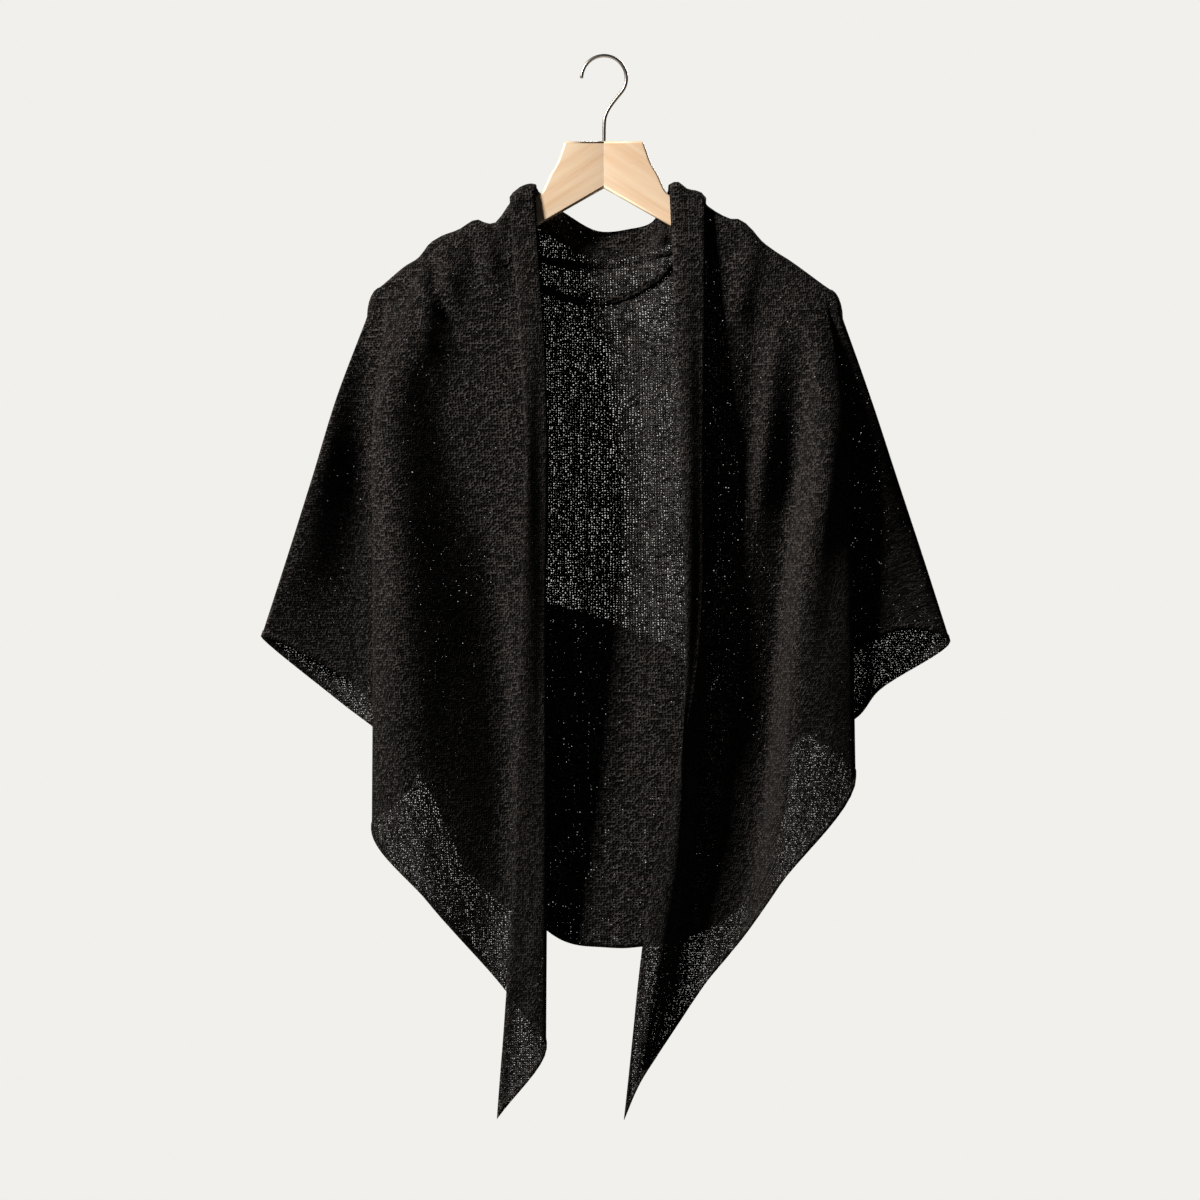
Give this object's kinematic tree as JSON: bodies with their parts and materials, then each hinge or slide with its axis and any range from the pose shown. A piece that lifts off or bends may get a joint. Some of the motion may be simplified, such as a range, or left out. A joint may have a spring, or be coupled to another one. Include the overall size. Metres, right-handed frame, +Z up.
{
  "type": "triangle scarf on hanger",
  "caption": "Knitted triangular scarf draped over a flat wooden hanger like a shawl, with hanging front points, open wings at the sides and a wire hook above.",
  "frame": {"origin": "underside of the hook's top bend, where it rests on a rail", "axes": "+Z up, -Y towards the viewer of the scarf's front, +X to that viewer's right"},
  "size_m": [0.6931, 0.0807, 1.0686],
  "materials": {
    "knit": "soft fine knit",
    "beech": "smooth clear satin",
    "wire": "satin drawn wire"
  },
  "bodies": {
    "root": {"left_front": "knit", "left_wing": "knit", "back": "knit", "right_wing": "knit", "right_front": "knit", "back_neck_band": "knit", "turned_up_corner": "knit", "hanger_left_arm": "beech", "hanger_right_arm": "beech", "hook": "wire"}
  },
  "joints": []
}
